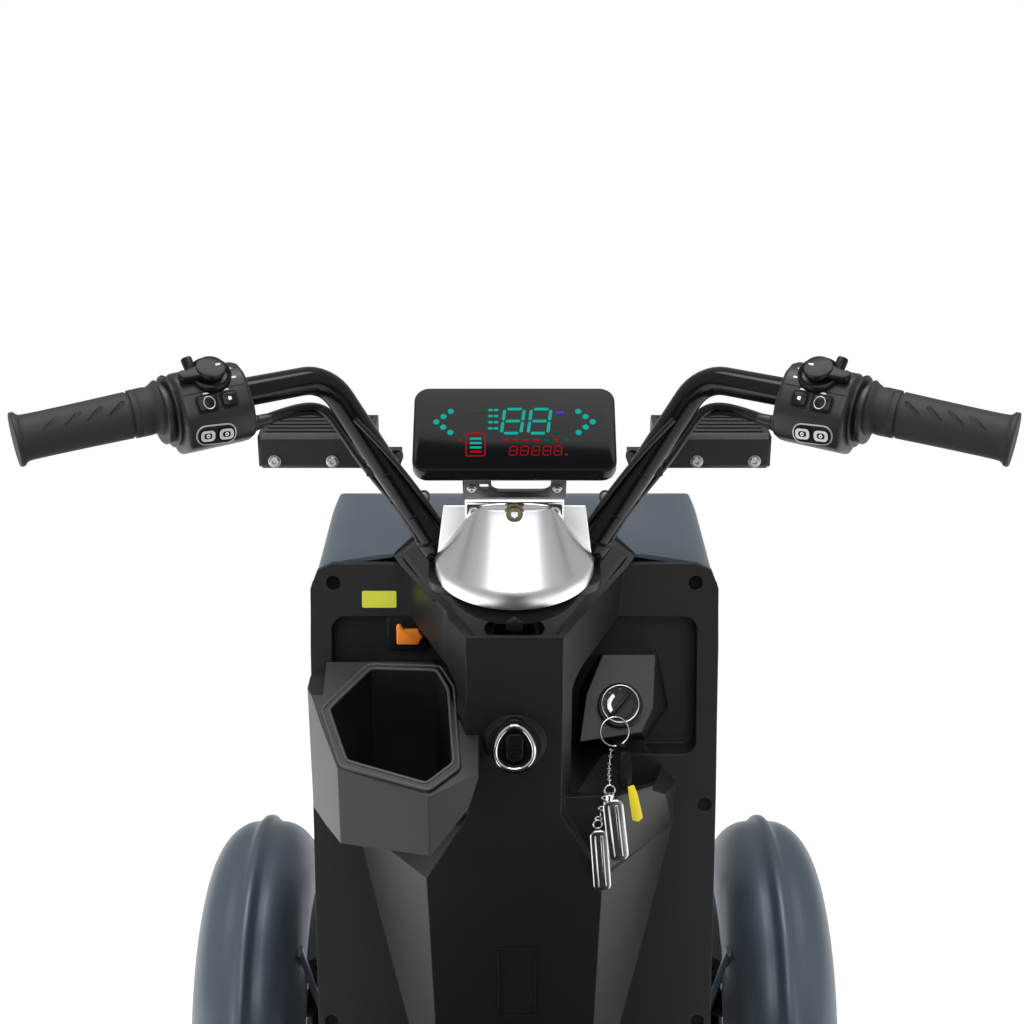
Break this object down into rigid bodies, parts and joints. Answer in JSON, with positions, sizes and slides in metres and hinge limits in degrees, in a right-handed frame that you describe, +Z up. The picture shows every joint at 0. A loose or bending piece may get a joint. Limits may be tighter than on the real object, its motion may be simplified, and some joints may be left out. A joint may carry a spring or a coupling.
{
  "type": "four-wheel mobility scooter",
  "caption": "Electric mobility scooter with handlebar steering, swivelling seat with flip-up armrests, leg shield with a storage pocket, fenders and a lidded rear box.",
  "frame": {"origin": "on the ground under the middle of the vehicle's box", "axes": "+Y forward, +X to the rider's right, +Z up"},
  "size_m": [0.7216, 1.62, 1.0354],
  "materials": {
    "painted_shell": "satin metallic blue-grey paint",
    "frame_paint": "black powder coat",
    "black_moulding": "fine-grained matte black moulding",
    "chrome_trim": "polished",
    "gloss_black": "gloss black",
    "grip_rubber": "matte rubber",
    "tyre_rubber": "tread rubber",
    "rim_metal": "cast and painted silver",
    "seat_cover": "black synthetic leather with stitched seams",
    "arm_pad": "soft black pad on a black arm",
    "spring_steel": "black coil springs",
    "lamp_glass": "clear lens",
    "lamp_red": "red lens",
    "socket_orange": "orange cap on a black plate",
    "battery_case": "plain case"
  },
  "bodies": {
    "chassis": {"main_frame": "frame_paint", "front_axle": "frame_paint", "rear_axle": "frame_paint", "shock_absorbers": "spring_steel", "bumpers": "frame_paint", "floor_pan": "black_moulding", "leg_shield": "black_moulding", "front_cowl": "painted_shell", "headlight": "lamp_glass", "storage_pocket": "black_moulding", "ignition_housing": "black_moulding", "ignition_lock": "chrome_trim", "bag_hook": "chrome_trim", "power_socket": "socket_orange", "rear_body": "painted_shell", "battery_block": "battery_case", "rear_fenders": "painted_shell", "tail_lamps": "lamp_red", "seat_post": "frame_paint", "rear_box": "black_moulding"},
    "steering": {"steering_column": "frame_paint", "handlebar": "gloss_black", "grips": "grip_rubber", "switch_housings": "black_moulding", "display": "gloss_black", "steering_cover": "chrome_trim", "lamp_blocks": "black_moulding", "control_cables": "grip_rubber"},
    "tie_link": {"tie_rod": "frame_paint"},
    "corner_left": {"knuckle_left": "frame_paint", "front_fender_left": "painted_shell"},
    "corner_right": {"knuckle_right": "frame_paint", "front_fender_right": "painted_shell"},
    "wheel_front_left": {"tyre_front_left": "tyre_rubber", "rim_front_left": "rim_metal"},
    "wheel_front_right": {"tyre_front_right": "tyre_rubber", "rim_front_right": "rim_metal"},
    "wheel_rear_left": {"tyre_rear_left": "tyre_rubber", "rim_rear_left": "rim_metal"},
    "wheel_rear_right": {"tyre_rear_right": "tyre_rubber", "rim_rear_right": "rim_metal"},
    "seat": {"seat_frame": "frame_paint", "seat_cushion": "seat_cover", "back_cushion": "seat_cover"},
    "arm_left": {"armrest_left": "arm_pad"},
    "arm_right": {"armrest_right": "arm_pad"},
    "box_lid": {"rear_box_lid": "painted_shell"}
  },
  "joints": [
    {"name": "handlebar_turn", "type": "hinge", "parent": "chassis", "child": "steering", "pos_m": [0, 0.309, 0.85], "axis": [0, -0.2079, 0.9781], "range_deg": [-30, 30]},
    {"name": "knuckle_left_turn", "type": "hinge", "parent": "chassis", "child": "corner_left", "pos_m": [-0.21, 0.595, 0.183], "axis": [0, 0, 1], "range_deg": [-24, 24]},
    {"name": "knuckle_right_turn", "type": "hinge", "parent": "chassis", "child": "corner_right", "pos_m": [0.21, 0.595, 0.183], "axis": [0, 0, 1], "range_deg": [-24, 24]},
    {"name": "tie_rod_shift", "type": "slide", "parent": "chassis", "child": "tie_link", "axis": [1, 0, 0], "range_m": [-0.0316, 0.0316]},
    {"name": "wheel_front_left_spin", "type": "hinge", "parent": "corner_left", "child": "wheel_front_left", "pos_m": [-0.272, 0.595, 0.183], "axis": [1, 0, 0], "continuous": true},
    {"name": "wheel_front_right_spin", "type": "hinge", "parent": "corner_right", "child": "wheel_front_right", "pos_m": [0.272, 0.595, 0.183], "axis": [1, 0, 0], "continuous": true},
    {"name": "wheel_rear_left_spin", "type": "hinge", "parent": "chassis", "child": "wheel_rear_left", "pos_m": [-0.272, -0.56, 0.183], "axis": [1, 0, 0], "continuous": true},
    {"name": "wheel_rear_right_spin", "type": "hinge", "parent": "chassis", "child": "wheel_rear_right", "pos_m": [0.272, -0.56, 0.183], "axis": [1, 0, 0], "continuous": true},
    {"name": "seat_swivel", "type": "hinge", "parent": "chassis", "child": "seat", "pos_m": [0, -0.3, 0.512], "axis": [0, 0, 1], "range_deg": [-90, 90]},
    {"name": "armrest_left_lift", "type": "hinge", "parent": "seat", "child": "arm_left", "pos_m": [-0.252, -0.583, 0.735], "axis": [1, 0, 0], "range_deg": [0, 95]},
    {"name": "armrest_right_lift", "type": "hinge", "parent": "seat", "child": "arm_right", "pos_m": [0.252, -0.583, 0.735], "axis": [1, 0, 0], "range_deg": [0, 95]},
    {"name": "box_lid_open", "type": "hinge", "parent": "chassis", "child": "box_lid", "pos_m": [0, -0.653, 0.662], "axis": [-1, 0, 0], "range_deg": [0, 80]}
  ],
  "couplings": [
    {"joint": "knuckle_left_turn", "follows": "handlebar_turn", "ratio": 0.8},
    {"joint": "knuckle_right_turn", "follows": "handlebar_turn", "ratio": 0.8},
    {"joint": "tie_rod_shift", "follows": "handlebar_turn", "m_per_rad": 0.06}
  ]
}
